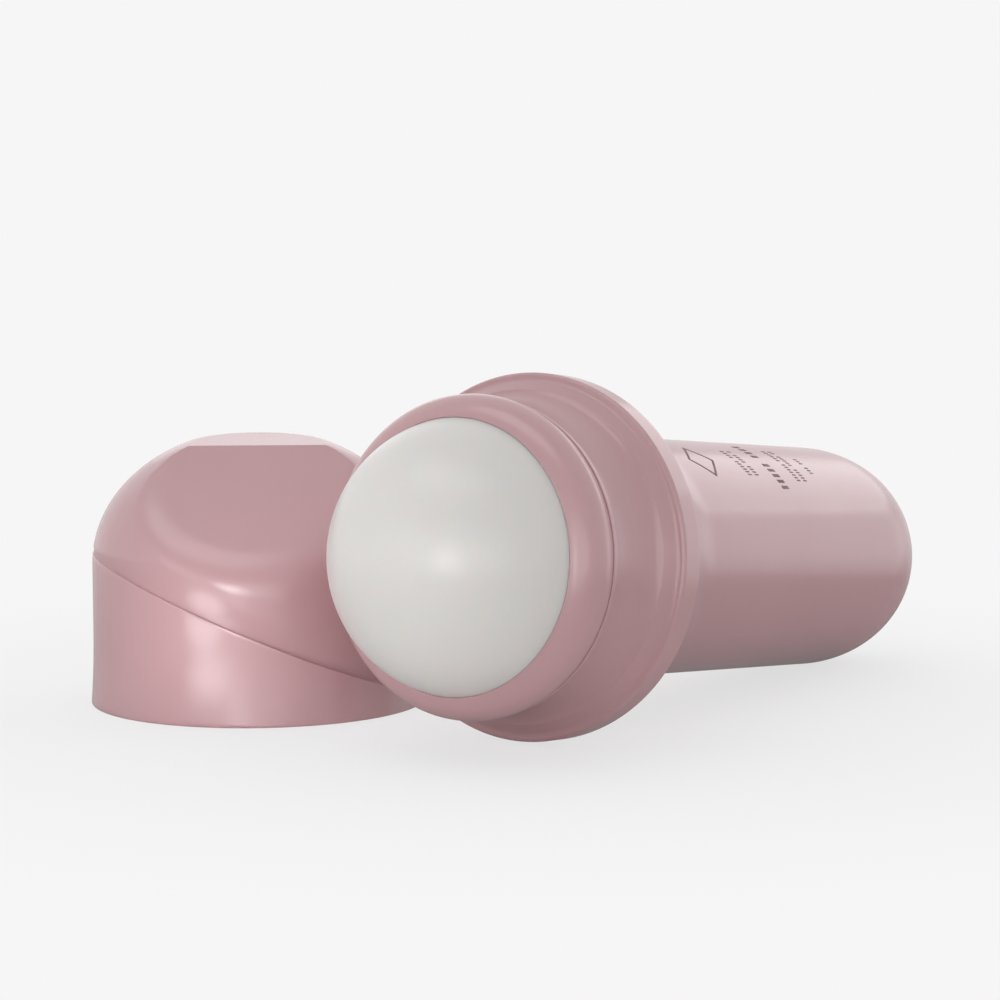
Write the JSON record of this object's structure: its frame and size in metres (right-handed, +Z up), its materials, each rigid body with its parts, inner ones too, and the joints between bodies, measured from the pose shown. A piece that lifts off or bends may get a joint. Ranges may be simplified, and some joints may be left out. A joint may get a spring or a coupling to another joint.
{
  "type": "roll on bottle",
  "caption": "Roll-on bottle lying on its side with a hollow ball in a snap-in housing, and its push-on cap, with a leaning facet and an inner liner, standing beside it.",
  "frame": {"origin": "centre of the base of the whole as it lies, on the surface under it", "axes": "+Z up, +X along the lying bottle from its ball to its base, +Y from the bottle to the cap"},
  "size_m": [0.1128, 0.0868, 0.0428],
  "materials": {
    "bottle": "satin dusty rose moulded plastic",
    "housing": "satin dusty rose moulded plastic",
    "ball": "smooth milky white plastic",
    "cap": "satin dusty rose moulded plastic",
    "liner": "natural translucent white plastic"
  },
  "bodies": {
    "bottle": {"bottle_body": "bottle", "ball_housing": "housing"},
    "roller": {"roller_ball": "ball"},
    "cap": {"cap_shell": "cap", "cap_liner": "liner"}
  },
  "joints": [
    {"name": "roller_spin", "type": "hinge", "parent": "bottle", "child": "roller", "pos_m": [-0.04057, -0.02201, 0.0226], "axis": [0, 1, 0], "continuous": true},
    {"name": "cap_lift", "type": "slide", "parent": "bottle", "child": "cap", "axis": [0, 0, 1], "range_m": [0, 0.027]}
  ]
}
